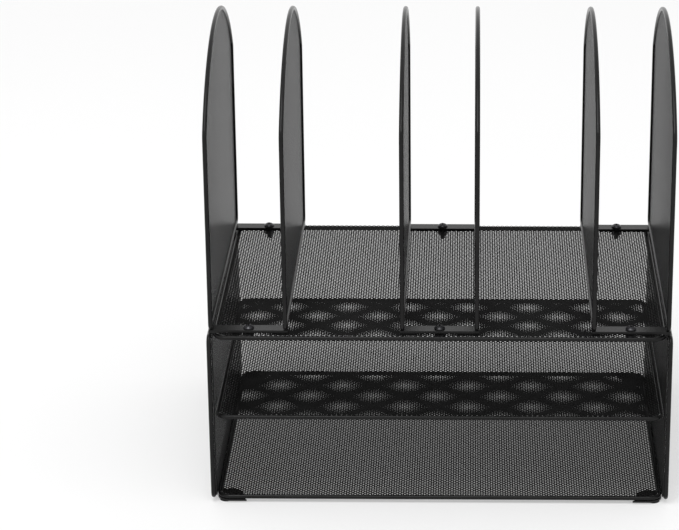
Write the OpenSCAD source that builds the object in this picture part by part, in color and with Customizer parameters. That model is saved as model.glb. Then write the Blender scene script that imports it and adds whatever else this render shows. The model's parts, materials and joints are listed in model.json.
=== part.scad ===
// Desktop file sorter: a welded wire and mesh tray base with three bolted-on upright sections.
// Millimetres. The origin is the middle of the footprint at desk level: +X right, +Y back, +Z up.

/* [Wire and sheet] */
// Diameter of every frame wire
wire_d = 3.4; // [2.4:0.2:4.4]
// Thickness of the mesh sheets over their strands
sheet_t = 1.0; // [0.5:0.1:1.5]

/* [Tray base] */
// Width over the two side frames
base_w = 346.6; // [290:1:420]
// Depth over the two side frames
base_d = 244; // [200:1:300]
// Bottom deck wire to middle shelf wire
lower_slot_h = 66; // [45:1:110]
// Middle shelf wire to top deck wire
upper_slot_h = 64.2; // [45:1:110]
// Bend radius of the side frames, on the wire's centre line
side_bend_r = 5; // [3:0.5:20]
// Bend radius of the deck frames, on the wire's centre line
deck_bend_r = 8; // [4:0.5:20]
// Decks and dividers stand this far behind the side frames' faces
deck_setback = 1.7; // [0:0.1:6]

/* [Upright sections] */
// Divider to divider within one section, between wire centres
section_w = 55.4; // [35:0.5:80]
// The outermost dividers stand this far inside the side frames' wires, centre to centre
outer_inset = 1.6; // [0:0.1:6]
// Divider height, between the centres of its bottom and top wire
divider_h = 208; // [170:1:260]
// Radius of the shoulder between the upright and the arched top, on the wire's centre line
shoulder_r = 12; // [4:0.5:20]
// Bend radius of a divider's bottom corners
divider_bend_r = 5; // [3:0.5:15]
// Width of the flange strips, front to back
flange_w = 10.6; // [9:0.2:16]
// Thickness of the flange strips
flange_t = 2.2; // [1:0.1:4]
// Middle of a flange strip, behind the divider's upright wire
flange_inset = 8.2; // [7.2:0.1:20]

/* [Fasteners] */
// Thread diameter of the screws
screw_d = 4; // [3:0.5:5]
// Length of the screws under the head
screw_l = 10; // [8:0.5:16]
// Head diameter of the screws
head_d = 8; // [6:0.2:10]
// Head height of the screws
head_h = 2.6; // [1.6:0.1:3.6]
// Width of the head's cross recess
recess_w = 1; // [0.6:0.1:1.4]
// Depth of the head's cross recess
recess_depth = 1.4; // [0.6:0.1:1.5]
// Nut width across flats
nut_af = 7; // [5.5:0.5:9]
// Nut height
nut_h = 3.2; // [2:0.1:5]
// How much wider the screw holes are than the screw
hole_clearance = 0.5; // [0.2:0.1:1]
// How much wider the nut's bore is than the screw
thread_clearance = 0.1; // [0.06:0.02:0.3]

/* [Corner plates and feet] */
// Leg of the triangular corner plates
plate_leg = 22.4; // [16:0.2:40]
// Thickness of the corner plates
plate_t = 1.4; // [0.8:0.1:3]
// Diameter of the foot pads
foot_d = 9.2; // [7:0.2:11]
// Thickness of the foot pads
foot_h = 1.2; // [0.8:0.1:5]
// Middle of a foot pad, in from the deck frame's two outer edges
foot_inset = 6.2; // [5.6:0.1:9]

/* [Hidden] */
$fn = 48;
wire_r = wire_d / 2;
paint = "#1b1b1c";
mesh_paint = "#2a2a2c";
zinc_black = "#303032";
rubber = "#0f0f10";

// The side frames, between wire centres
side_x = base_w / 2 - wire_r;
side_run = base_d - wire_d;

// The deck frames lie between the side sheets, with their wire against them
deck_half_w = side_x - wire_r - sheet_t - wire_r;
deck_run = side_run - 2 * deck_setback;
bottom_z = foot_h + plate_t + wire_r;
shelf_z = bottom_z + lower_slot_h;
top_z = shelf_z + upper_slot_h;
deck_top = top_z + wire_r + sheet_t;

// The dividers stand on the flanges, which lie on the top deck's sheet
divider_z = deck_top + flange_t + wire_r;
flange_y = deck_run / 2 - flange_inset;

// A divider's top has five bends: a crown, two haunches and two shoulders, on centres [along, up].
// They meet where the wire's slope is 3 in 4 and 4 in 3, so that their ends fit exactly.
flat_end = [0.6, 0.8];
steep_end = [0.8, 0.6];
crown_r = 1.3 * deck_run / 2;
haunch_r = 1.1 * deck_run / 2 - shoulder_r;
crown_at = [0, divider_h - crown_r];
haunch_at = crown_at + (crown_r - haunch_r) * flat_end;
shoulder_at = haunch_at + (haunch_r - shoulder_r) * steep_end;
section_pitch = side_x - outer_inset - section_w / 2;
section_x = [-section_pitch, 0, section_pitch];

// Corner plates and feet, measured from the deck frame's outer corner
deck_outer_x = deck_half_w + wire_r;
deck_outer_y = deck_run / 2 + wire_r;

// A wire bent in the XY plane from the origin along +X, always to the left.
// Each step is [straight length, bend radius, bend angle].
module bent_wire(steps, i = 0) {
    if (i < len(steps)) {
        run = steps[i][0];
        bend_r = steps[i][1];
        turn = steps[i][2];
        if (run > 0) {
            rotate([0, 90, 0]) cylinder(d = wire_d, h = run);
        }
        translate([run, bend_r, 0]) {
            rotate([0, 0, -90]) rotate_extrude(angle = turn) translate([bend_r, 0])
                circle(d = wire_d);
            rotate([0, 0, turn]) translate([0, -bend_r, 0]) bent_wire(steps, i + 1);
        }
    }
}

// A closed rectangular wire frame, centred, sized between wire centres
module wire_rectangle(w, d, bend_r) {
    long_side = [w - 2 * bend_r, bend_r, 90];
    short_side = [d - 2 * bend_r, bend_r, 90];
    translate([-w / 2 + bend_r, -d / 2, 0]) bent_wire([long_side, short_side, long_side, short_side]);
}

// A rectangle with round corners, centred
module round_rectangle(w, d, r) {
    square([w - 2 * r, d], center = true);
    square([w, d - 2 * r], center = true);
    for (x = [-1, 1], y = [-1, 1]) translate([x * (w / 2 - r), y * (d / 2 - r)]) circle(r);
}

// Turns a flat drawing so that its X runs along Y and its Y runs up
module upright() {
    rotate([90, 0, 90]) children();
}

// A side frame's upright rectangle; side is -1 on the left and 1 on the right
module side_frame(side) {
    translate([side * side_x, 0, (bottom_z + top_z) / 2])
        upright() wire_rectangle(side_run, top_z - bottom_z, side_bend_r);
}

// The sheet against the inner face of a side frame, out to the wire's centre line
module side_mesh(side) {
    translate([side * (side_x - wire_r - sheet_t / 2), 0, (bottom_z + top_z) / 2])
        upright() linear_extrude(sheet_t, center = true)
            round_rectangle(side_run, top_z - bottom_z, side_bend_r);
}

module deck_frame(z) {
    translate([0, 0, z]) wire_rectangle(2 * deck_half_w, deck_run, deck_bend_r);
}

// The sheet that lies on a deck frame, out to the wire's centre line
module deck_mesh(z) {
    translate([0, 0, z + wire_r]) linear_extrude(sheet_t)
        round_rectangle(2 * deck_half_w, deck_run, deck_bend_r);
}

// The top deck's sheet, drilled for the screws
module top_deck_mesh() {
    difference() {
        deck_mesh(top_z);
        at_screws() translate([0, 0, top_z]) cylinder(d = screw_d + hole_clearance, h = wire_d + sheet_t);
    }
}

// A wedge from the origin between two directions, reaching well past radius r
module wedge(r, from, to) {
    polygon([[0, 0], 3 * r * from, 3 * r * to]);
}

// Part of a wire ring around the origin, between two directions
module wire_arc(r, from, to) {
    intersection() {
        rotate_extrude($fn = 180) translate([r, 0]) circle(d = wire_d, $fn = 48);
        linear_extrude(2 * wire_d, center = true) wedge(r, from, to);
    }
}

// One divider's closed wire loop, on its flat foot
module divider_frame(x) {
    foot_end = deck_run / 2 - divider_bend_r;
    upright_run = shoulder_at[1] - divider_bend_r;
    translate([x, 0, divider_z]) upright() {
        translate([-foot_end, 0, 0]) rotate([0, 90, 0]) cylinder(d = wire_d, h = 2 * foot_end);
        translate(crown_at) wire_arc(crown_r, flat_end, [-flat_end[0], flat_end[1]]);
        for (side = [0, 1]) mirror([side, 0, 0]) {
            translate([foot_end, divider_bend_r]) wire_arc(divider_bend_r, [0, -1], [1, 0]);
            translate([deck_run / 2, divider_bend_r]) rotate([-90, 0, 0])
                cylinder(d = wire_d, h = upright_run);
            translate(shoulder_at) wire_arc(shoulder_r, [1, 0], steep_end);
            translate(haunch_at) wire_arc(haunch_r, steep_end, flat_end);
        }
    }
}

// The outline inside a divider's wire, standing on the foot wire's inner line
module divider_outline() {
    half = deck_run / 2 - wire_r;
    corner_r = divider_bend_r - wire_r;
    translate([-half + corner_r, wire_r]) square([2 * (half - corner_r), corner_r]);
    translate([-half, wire_r + corner_r]) square([2 * half, shoulder_at[1] - wire_r - corner_r]);
    translate(crown_at) intersection() {
        circle(crown_r - wire_r, $fn = 180);
        wedge(crown_r, flat_end, [-flat_end[0], flat_end[1]]);
    }
    for (side = [0, 1]) mirror([side, 0]) {
        translate([half - corner_r, wire_r + corner_r]) circle(corner_r);
        translate(shoulder_at) circle(shoulder_r - wire_r);
        translate(haunch_at) intersection() {
            circle(haunch_r - wire_r, $fn = 180);
            wedge(haunch_r, steep_end, flat_end);
        }
    }
}

// The sheet in the middle plane of a divider's wire, edge to edge with it
module divider_mesh(x) {
    translate([x, 0, divider_z]) upright() linear_extrude(sheet_t, center = true) divider_outline();
}

// A strip under both dividers of a section, with one screw hole; end is -1 in front and 1 at the back
module flange(x, end) {
    translate([x, end * flange_y, deck_top]) difference() {
        translate([-section_w / 2 - wire_r, -flange_w / 2, 0])
            cube([section_w + wire_d, flange_w, flange_t]);
        translate([0, 0, -1]) cylinder(d = screw_d + hole_clearance, h = flange_t + 2);
    }
}

// Repeats its children at the six screws
module at_screws() {
    for (x = section_x, end = [-1, 1]) translate([x, end * flange_y, 0]) children();
}

// A domed pan head screw with a cross recess, head up
module screw() {
    edge_h = head_h / 3;
    dome_h = head_h - edge_h;
    dome_r = (pow(head_d / 2, 2) + pow(dome_h, 2)) / (2 * dome_h);
    difference() {
        union() {
            cylinder(d = head_d, h = edge_h);
            translate([0, 0, edge_h]) intersection() {
                translate([0, 0, dome_h - dome_r]) sphere(dome_r);
                cylinder(d = head_d, h = dome_h);
            }
            translate([0, 0, -screw_l]) cylinder(d = screw_d, h = screw_l);
        }
        for (turn = [0, 90]) rotate([0, 0, turn])
            translate([-head_d / 4, -recess_w / 2, head_h - recess_depth])
                cube([head_d / 2, recess_w, head_h]);
    }
}

module screws() {
    color(zinc_black) at_screws() translate([0, 0, deck_top + flange_t]) screw();
}

// Hexagon nuts drawn up against the underside of the top deck's sheet
module nuts() {
    color(zinc_black) at_screws() translate([0, 0, top_z + wire_r - nut_h]) difference() {
        cylinder(d = nut_af / cos(30), h = nut_h, $fn = 6);
        translate([0, 0, -1]) cylinder(d = screw_d + thread_clearance, h = nut_h + 2);
    }
}

// Repeats its children at the four corners of the bottom deck, turned to face inwards
module at_corners() {
    for (x = [-1, 1], y = [-1, 1]) translate([x * deck_outer_x, y * deck_outer_y, 0])
        mirror([x > 0 ? 1 : 0, 0, 0]) mirror([0, y > 0 ? 1 : 0, 0]) children();
}

// Triangular plates under the corners of the bottom deck's wire
module corner_plates() {
    corner_r = deck_bend_r + wire_r;
    color(paint) at_corners() translate([0, 0, foot_h]) linear_extrude(plate_t) {
        translate([corner_r, corner_r]) circle(corner_r);
        polygon([[corner_r, 0], [plate_leg, 0], [0, plate_leg], [0, corner_r], [corner_r, corner_r]]);
    }
}

module foot_pads() {
    color(rubber) at_corners() translate([foot_inset, foot_inset, 0]) cylinder(d = foot_d, h = foot_h);
}

color(paint) side_frame(-1);  // left_side_frame
color(mesh_paint) side_mesh(-1);  // left_side_mesh
color(paint) side_frame(1);  // right_side_frame
color(mesh_paint) side_mesh(1);  // right_side_mesh
color(paint) deck_frame(bottom_z);  // bottom_deck_frame
color(mesh_paint) deck_mesh(bottom_z);  // bottom_deck_mesh
color(paint) deck_frame(shelf_z);  // middle_shelf_frame
color(mesh_paint) deck_mesh(shelf_z);  // middle_shelf_mesh
color(paint) deck_frame(top_z);  // top_deck_frame
color(mesh_paint) top_deck_mesh();
for (i = [0:2]) {
    name = str(["left", "centre", "right"][i], "_section_");
    x = section_x[i];
    left_x = x - section_w / 2;
    right_x = x + section_w / 2;
    color(paint) divider_frame(left_x);
    color(mesh_paint) divider_mesh(left_x);
    color(paint) divider_frame(right_x);
    color(mesh_paint) divider_mesh(right_x);
    color(paint) flange(x, -1);
    color(paint) flange(x, 1);
}
screws();
nuts();
corner_plates();
foot_pads();
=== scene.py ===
"""Looks for the mesh file sorter: pierced sheets, paint, rubber, plating, floor, light and camera."""

import json
import math

import bmesh
import bpy
import numpy as np
from mathutils import Euler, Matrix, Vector


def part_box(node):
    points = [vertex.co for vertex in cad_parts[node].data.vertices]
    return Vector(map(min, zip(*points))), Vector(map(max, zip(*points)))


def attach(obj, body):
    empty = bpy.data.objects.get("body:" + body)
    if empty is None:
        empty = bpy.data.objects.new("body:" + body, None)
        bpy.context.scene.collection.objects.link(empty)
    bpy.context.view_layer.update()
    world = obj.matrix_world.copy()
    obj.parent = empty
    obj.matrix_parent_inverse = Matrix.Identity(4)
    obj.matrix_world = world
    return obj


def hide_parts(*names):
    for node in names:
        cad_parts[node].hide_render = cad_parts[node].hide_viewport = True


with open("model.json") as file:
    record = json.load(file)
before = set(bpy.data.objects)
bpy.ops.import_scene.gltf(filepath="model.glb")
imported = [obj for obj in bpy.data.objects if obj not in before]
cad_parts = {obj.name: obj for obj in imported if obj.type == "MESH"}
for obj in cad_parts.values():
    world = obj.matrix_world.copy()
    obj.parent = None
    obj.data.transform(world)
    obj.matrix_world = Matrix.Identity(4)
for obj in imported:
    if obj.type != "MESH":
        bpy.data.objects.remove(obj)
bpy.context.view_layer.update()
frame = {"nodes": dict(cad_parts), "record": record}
RECORD = frame["record"]
X, Y, Z = 0, 1, 2

# The pierced sheets: staggered diamond holes, sizes in metres
DECK_T = 0.00016
UPRIGHT_T = 0.00010
ROW_PITCH = 0.00155
DECK_PITCH = 0.00377
UPRIGHT_PITCH = 0.00372
HOLE_SHARE = 0.53
DIAMOND = np.array([(1, 0), (0, 1), (-1, 0), (0, -1)])
INTO_WIRE = 0.0012
BACK_FROM_EDGE = -0.0003
HEM_W = 0.0026
HEM_BEVEL = 0.0002
SHARP_ANGLE = 1.2
SCREW_ROOM = 0.0034

# The sheets' texture maps, in shares of the picture
WALL_REACH = 0.35
MAP_SIZE = (0.49, 0.98)
MAP_EDGE = 0.005

BUMP_DEPTH = 0.0002
FLOOR_SIZE = 12
WHITE_SHARE = 0.4
WORLD_LEVEL = 0.85
AIM_HEIGHT = 0.1


def convex_outline(points):
    """The convex hull of 2-D points, anticlockwise."""
    found = sorted(set(map(tuple, np.round(points, 7))))
    halves = []
    for run in (found, found[::-1]):
        half = []
        for p in run:
            while len(half) > 1:
                a, b = half[-2], half[-1]
                if (b[0] - a[0]) * (p[1] - a[1]) - (b[1] - a[1]) * (p[0] - a[0]) > 0:
                    break
                half.pop()
            half.append(p)
        halves += half[:-1]
    return np.array(halves)


def depth_outside(points, outline):
    """How far each point lies outside a convex outline; negative inside."""
    ends = np.roll(outline, -1, axis=0)
    along = ends - outline
    outward = np.column_stack([along[:, 1], -along[:, 0]])
    outward /= np.linalg.norm(outward, axis=1)[:, None]
    level = (outward * outline).sum(axis=1)
    return (points @ outward.T - level).max(axis=1)


def cell_centres(outline, pitch, margin):
    """Whole-number places of the holes whose middle is inside the outline grown by margin."""
    reach = np.ceil(np.abs(outline).max(axis=0) / (pitch / 2, ROW_PITCH)).astype(int) + 2
    across, along = np.meshgrid(
        np.arange(-reach[0], reach[0] + 1), np.arange(-reach[1], reach[1] + 1)
    )
    cells = np.column_stack([across.ravel(), along.ravel()])
    cells = cells[cells.sum(axis=1) % 2 == 0]
    places = cells * (pitch / 2, ROW_PITCH)
    return cells[depth_outside(places, outline) < margin]


def lattice(cells, step):
    """The flat points of a pierced sheet, its face corners on one side and its rim edges.

    The points are the shared corners of the diamond cells, then four for each hole. Faces and
    edges are whole numbers into them, and each rim edge comes with the cell it belongs to.
    """
    count = len(cells)
    corners = (cells[:, None, :] + DIAMOND).reshape(-1, 2)
    shared, corner_of = np.unique(corners, axis=0, return_inverse=True)
    corner_of = corner_of.reshape(count, 4)
    holes = cells[:, None, :] + DIAMOND * HOLE_SHARE
    flat = np.concatenate([shared, holes.reshape(-1, 2)]) * step
    hole_of = len(shared) + np.arange(count * 4).reshape(count, 4)
    next_corner = np.roll(corner_of, -1, axis=1)
    next_hole = np.roll(hole_of, -1, axis=1)
    top = np.stack([corner_of, next_corner, next_hole, hole_of], axis=-1).reshape(-1, 4)
    holes = np.stack([hole_of, next_hole], axis=-1).reshape(-1, 2)
    edges = np.stack([corner_of, next_corner], axis=-1).reshape(-1, 2)
    _, where, times = np.unique(
        np.sort(edges, axis=1), axis=0, return_index=True, return_counts=True
    )
    single = where[times == 1]
    return flat, top, holes, edges[single], single // 4


def spread_map(flat, centre, top, holes, rim, rim_cell):
    """Texture places for every face corner: the top in one half and the underside in the other.

    A hole's walls take a ring inside the hole, and the rim's walls a band just outside the rim.
    """
    hole_ends = flat[holes[:, ::-1]]
    hole_middle = np.repeat(centre, 4, axis=0)[:, None]
    rim_ends = flat[rim]
    beyond = (rim_ends.sum(axis=1) - centre[rim_cell])[:, None]
    inner = hole_ends + (hole_middle - hole_ends) * WALL_REACH
    outer = rim_ends + (beyond - rim_ends) * WALL_REACH
    spread = np.concatenate([
        flat[top],
        flat[top[:, ::-1]],
        np.concatenate([flat[holes], inner], axis=1),
        np.stack([rim_ends[:, 0], outer[:, 0], outer[:, 1], rim_ends[:, 1]], axis=1),
    ])
    low = spread.reshape(-1, 2).min(axis=0)
    high = spread.reshape(-1, 2).max(axis=0)
    spread = (spread - low) / (high - low) * MAP_SIZE + MAP_EDGE
    spread[len(top) : 2 * len(top), :, 0] += 0.5
    return spread


def linked(name, mesh):
    """A new object of a mesh, in the scene."""
    piece = bpy.data.objects.new(name, mesh)
    bpy.context.scene.collection.objects.link(piece)
    return piece


def stand_up(flat, middle, axes, levels):
    """Flat points set into space on the sheet's row axes, once for each level of its normal."""
    across, rows, normal = axes
    points = np.zeros((len(levels) * len(flat), 3))
    points[:, across] = np.tile(flat[:, 0], len(levels)) + middle[across]
    points[:, rows] = np.tile(flat[:, 1], len(levels)) + middle[rows]
    points[:, normal] = np.repeat(levels, len(flat))
    return points


def pierced_sheet(name, cells, pitch, middle, axes, level, thick):
    """One thin sheet with a diamond hole in each cell.

    cells are whole-number places, middle is the point of cell (0, 0), axes are the row axes
    that the pitch, the rows and the sheet's normal follow, and level is the sheet's middle.
    """
    step = np.array([pitch / 2, ROW_PITCH])
    flat, top, holes, rim, rim_cell = lattice(cells, step)
    under = len(flat)
    below = top[:, ::-1] + under
    hole_walls = np.concatenate([holes, holes[:, ::-1] + under], axis=1)
    rim_walls = np.stack([rim[:, 0], rim[:, 0] + under, rim[:, 1] + under, rim[:, 1]], axis=-1)
    faces = np.concatenate([top, below, hole_walls, rim_walls])
    spread = spread_map(flat, cells * step, top, holes, rim, rim_cell)
    across, _, normal = axes
    if (normal - across) % 3 != 2:
        faces = faces[:, ::-1]
        spread = spread[:, ::-1]
    points = stand_up(flat, middle, axes, [level + thick / 2, level - thick / 2])
    mesh = bpy.data.meshes.new(name)
    mesh.from_pydata(points.tolist(), [], faces.tolist())
    mesh.uv_layers.new(name="OFBake")
    mesh.uv_layers[0].data.foreach_set("uv", spread.ravel())
    mesh.update()
    return linked(name, mesh)


def hem(name, outline, middle, axes, low, high):
    """A folded hem: a band just inside a convex outline, from one face of the plate to the other."""
    normal = axes[2]
    reach = np.abs(outline).max(axis=0)
    count = len(outline)
    loops = np.concatenate([outline, outline * (reach - HEM_W) / reach])
    points = stand_up(loops, middle, axes, [low[normal], high[normal]])
    sheet = bmesh.new()
    corners = [sheet.verts.new(p) for p in points]
    for i in range(count):
        j = (i + 1) % count
        for a, b in ((0, 1), (1, 3), (3, 2), (2, 0)):
            ring = (a * count + i, a * count + j, b * count + j, b * count + i)
            sheet.faces.new([corners[k] for k in ring])
    bmesh.ops.recalc_face_normals(sheet, faces=sheet.faces)
    sharp = [e for e in sheet.edges if e.calc_face_angle() > SHARP_ANGLE]
    bmesh.ops.bevel(sheet, geom=sharp, offset=HEM_BEVEL, segments=2, affect="EDGES")
    mesh = bpy.data.meshes.new(name)
    sheet.to_mesh(mesh)
    sheet.free()
    return linked(name, mesh)


def finish_sheet(piece, node, paint):
    """Hands a pierced sheet to the frame in place of its plain plate."""
    piece.data.materials.append(paint)
    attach(piece, "root")
    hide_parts(node)


def outline_of(node, axes):
    """The convex outline of a CAD plate about the middle of its box, and that middle."""
    low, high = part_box(node)
    middle = (low + high) / 2
    points = np.array([v.co for v in frame["nodes"][node].data.vertices])
    flat = points[:, axes[:2]] - np.array([middle[axes[0]], middle[axes[1]]])
    return convex_outline(flat), middle


def noise_links(tree, scale, detail=4.0):
    """A noise texture on the object's own coordinates."""
    place = tree.nodes.new("ShaderNodeTexCoord")
    noise = tree.nodes.new("ShaderNodeTexNoise")
    noise.inputs["Scale"].default_value = scale
    noise.inputs["Detail"].default_value = detail
    tree.links.new(place.outputs["Object"], noise.inputs["Vector"])
    return noise.outputs["Fac"]


def ramp(tree, source, low, high, start=0.35, end=0.65):
    """A colour ramp from low to high over the middle of a noise."""
    node = tree.nodes.new("ShaderNodeValToRGB")
    node.color_ramp.elements[0].position = start
    node.color_ramp.elements[0].color = (*low, 1)
    node.color_ramp.elements[1].position = end
    node.color_ramp.elements[1].color = (*high, 1)
    tree.links.new(source, node.inputs["Fac"])
    return node.outputs["Color"]


def surface(name, dark, light, rough, specular, blotch=35.0, grain=1800.0, bump=0.05, metal=0.0):
    """A procedural finish: slow colour drift, finer changes of gloss and a fine-grained bump."""
    material = bpy.data.materials.new(name)
    material.use_nodes = True
    tree = material.node_tree
    shader = tree.nodes["Principled BSDF"]
    shader.inputs["Metallic"].default_value = metal
    shader.inputs["Specular IOR Level"].default_value = specular
    colour = ramp(tree, noise_links(tree, blotch), dark, light)
    tree.links.new(colour, shader.inputs["Base Color"])
    gloss = tree.nodes.new("ShaderNodeMapRange")
    gloss.inputs["To Min"].default_value = rough[0]
    gloss.inputs["To Max"].default_value = rough[1]
    tree.links.new(noise_links(tree, blotch * 9), gloss.inputs["Value"])
    tree.links.new(gloss.outputs["Result"], shader.inputs["Roughness"])
    relief = tree.nodes.new("ShaderNodeBump")
    relief.inputs["Strength"].default_value = bump
    relief.inputs["Distance"].default_value = BUMP_DEPTH
    tree.links.new(noise_links(tree, grain, 2.0), relief.inputs["Height"])
    tree.links.new(relief.outputs["Normal"], shader.inputs["Normal"])
    return material


WIRE_PAINT = surface(
    "satin_black_wire", (0.006, 0.006, 0.006), (0.010, 0.010, 0.010), (0.18, 0.26), 0.16, bump=0.08
)
# One black mesh paint in two copies: the deck copy is painted darker as painted shade, and the
# upright copy lighter as painted sheen of the grazing view.
DECK_SHADED_PAINT = surface(
    "satin_black_deck_painted_shade", (0.005, 0.005, 0.005), (0.008, 0.008, 0.008), (0.45, 0.58), 0.02
)
UPRIGHT_SHEEN_PAINT = surface(
    "satin_black_upright_painted_sheen", (0.008, 0.008, 0.008), (0.013, 0.013, 0.013), (0.30, 0.40), 0.08
)
STRIP_PAINT = surface(
    "satin_black_strip", (0.007, 0.007, 0.007), (0.012, 0.012, 0.012), (0.20, 0.28), 0.16, bump=0.12
)
BLACK_ZINC = surface(
    "black_zinc", (0.030, 0.030, 0.032), (0.055, 0.055, 0.060), (0.16, 0.28), 0.5, 90, 2600, 0.1, 0.6
)
RUBBER = surface(
    "foot_rubber", (0.010, 0.010, 0.010), (0.017, 0.017, 0.017), (0.70, 0.86), 0.3, 60, 900, 0.3
)
PAINT_OF_SLOT = {
    "painted_wire": WIRE_PAINT,
    "painted_mesh": DECK_SHADED_PAINT,
    "painted_strip": STRIP_PAINT,
    "black_zinc": BLACK_ZINC,
    "foot_rubber": RUBBER,
}

for part in RECORD["subparts"]:
    slots = frame["nodes"][part["node"]].material_slots
    for place in slots:
        place.material = PAINT_OF_SLOT[part["material_slot"]]

# Deck sheets, each in a left and a right half
DECK_AXES = (X, Y, Z)
screw_places = []
for section in ("left", "centre", "right"):
    for end in ("front", "rear"):
        low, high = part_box(f"{section}_section_{end}_flange")
        screw_places.append(((low + high) / 2)[:2])
for deck in ("bottom_deck", "middle_shelf", "top_deck"):
    node = f"{deck}_mesh"
    low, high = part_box(node)
    outline, middle = outline_of(node, DECK_AXES)
    cells = cell_centres(outline, DECK_PITCH, BACK_FROM_EDGE)
    level = low.z + DECK_T / 2
    if deck == "top_deck":
        level = middle.z
        places = cells * (DECK_PITCH / 2, ROW_PITCH) + np.array(middle[:2])
        for screw in screw_places:
            clear = np.linalg.norm(places - np.array(screw), axis=1) > SCREW_ROOM
            cells, places = cells[clear], places[clear]
    for half, chosen in (("left", cells[:, 0] < 0), ("right", cells[:, 0] >= 0)):
        sheet = pierced_sheet(
            f"{deck}_pierced_{half}", cells[chosen], DECK_PITCH, middle, DECK_AXES, level, DECK_T
        )
        finish_sheet(sheet, node, DECK_SHADED_PAINT)

# Upright sheets: two on the side frames and six in the dividers
UPRIGHT_AXES = (Z, Y, X)
for side in ("left", "right"):
    node = f"{side}_side_mesh"
    outline, middle = outline_of(node, UPRIGHT_AXES)
    cells = cell_centres(outline, UPRIGHT_PITCH, BACK_FROM_EDGE)
    low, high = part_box(node)
    level = high.x - UPRIGHT_T / 2 if side == "left" else low.x + UPRIGHT_T / 2
    sheet = pierced_sheet(
        f"{side}_side_pierced", cells, UPRIGHT_PITCH, middle, UPRIGHT_AXES, level, UPRIGHT_T
    )
    finish_sheet(sheet, node, UPRIGHT_SHEEN_PAINT)
    band = hem(f"{side}_side_hem", outline, middle, UPRIGHT_AXES, low, high)
    finish_sheet(band, node, WIRE_PAINT)
for section in ("left", "centre", "right"):
    for side in ("left", "right"):
        node = f"{section}_section_{side}_divider_mesh"
        outline, middle = outline_of(node, UPRIGHT_AXES)
        cells = cell_centres(outline, UPRIGHT_PITCH, INTO_WIRE)
        sheet = pierced_sheet(
            f"{section}_section_{side}_divider_pierced",
            cells,
            UPRIGHT_PITCH,
            middle,
            UPRIGHT_AXES,
            middle.x,
            UPRIGHT_T,
        )
        finish_sheet(sheet, node, UPRIGHT_SHEEN_PAINT)


def seen_plainly(tree, rest):
    """One for camera, glossy and transmission rays, and rest for all others."""
    path = tree.nodes.new("ShaderNodeLightPath")
    total = path.outputs["Is Camera Ray"]
    for kind in ("Is Glossy Ray", "Is Transmission Ray"):
        join = tree.nodes.new("ShaderNodeMath")
        join.operation = "MAXIMUM"
        tree.links.new(total, join.inputs[0])
        tree.links.new(path.outputs[kind], join.inputs[1])
        total = join.outputs[0]
    level = tree.nodes.new("ShaderNodeMapRange")
    level.inputs["To Min"].default_value = rest
    tree.links.new(total, level.inputs["Value"])
    return level


def floor():
    """A wide pale floor with a faint unevenness, part of it shown at a plain white."""
    bpy.ops.mesh.primitive_plane_add(size=FLOOR_SIZE)
    plane = bpy.context.object
    plane.name = "floor"
    material = surface(
        "pale_floor", (0.925, 0.925, 0.925), (0.935, 0.935, 0.935), (0.7, 0.8), 0.1, 1.5, 40, 0.0
    )
    tree = material.node_tree
    glow = tree.nodes.new("ShaderNodeEmission")
    mix = tree.nodes.new("ShaderNodeMixShader")
    share = seen_plainly(tree, 0.0)
    share.inputs["To Max"].default_value = WHITE_SHARE
    tree.links.new(share.outputs["Result"], mix.inputs["Fac"])
    tree.links.new(tree.nodes["Principled BSDF"].outputs["BSDF"], mix.inputs[1])
    tree.links.new(glow.outputs["Emission"], mix.inputs[2])
    tree.links.new(mix.outputs["Shader"], tree.nodes["Material Output"].inputs["Surface"])
    plane.data.materials.append(material)


def area_lamp(name, size, watts, place):
    """A rectangular lamp aimed at the object."""
    lamp = bpy.data.lights.new(name, "AREA")
    lamp.shape = "RECTANGLE"
    lamp.size, lamp.size_y = size
    lamp.energy = watts
    holder = linked(name, lamp)
    holder.location = place
    aim = Vector((0, 0, AIM_HEIGHT)) - holder.location
    holder.rotation_euler = aim.to_track_quat("-Z", "Y").to_euler()


def studio():
    """An even white surround, one soft lamp above and in front, and a small one for glints."""
    world = bpy.data.worlds.new("studio")
    bpy.context.scene.world = world
    world.use_nodes = True
    tree = world.node_tree
    background = tree.nodes["Background"]
    background.inputs["Color"].default_value = (1, 1, 1, 1)
    level = seen_plainly(tree, WORLD_LEVEL)
    tree.links.new(level.outputs["Result"], background.inputs["Strength"])
    area_lamp("softbox", (1.8, 1.3), 25, (-0.4, -0.9, 2.6))
    area_lamp("glint", (0.2, 0.2), 3.5, (-0.5, -1.1, 2.0))


def camera():
    """A long lens from in front and above, set off-centre as the view is framed."""
    data = bpy.data.cameras.new("camera")
    data.lens = 145.38
    data.shift_x = -0.15
    data.clip_start, data.clip_end = 0.05, 50
    holder = bpy.data.objects.new("camera", data)
    holder.location = (0.0214, -2.0, 0.9138)
    holder.rotation_euler = Euler((math.radians(90 - 20.958), 0, math.radians(0.610)))
    bpy.context.scene.collection.objects.link(holder)
    bpy.context.scene.camera = holder


floor()
studio()
camera()
bpy.context.scene.view_settings.view_transform = "Standard"
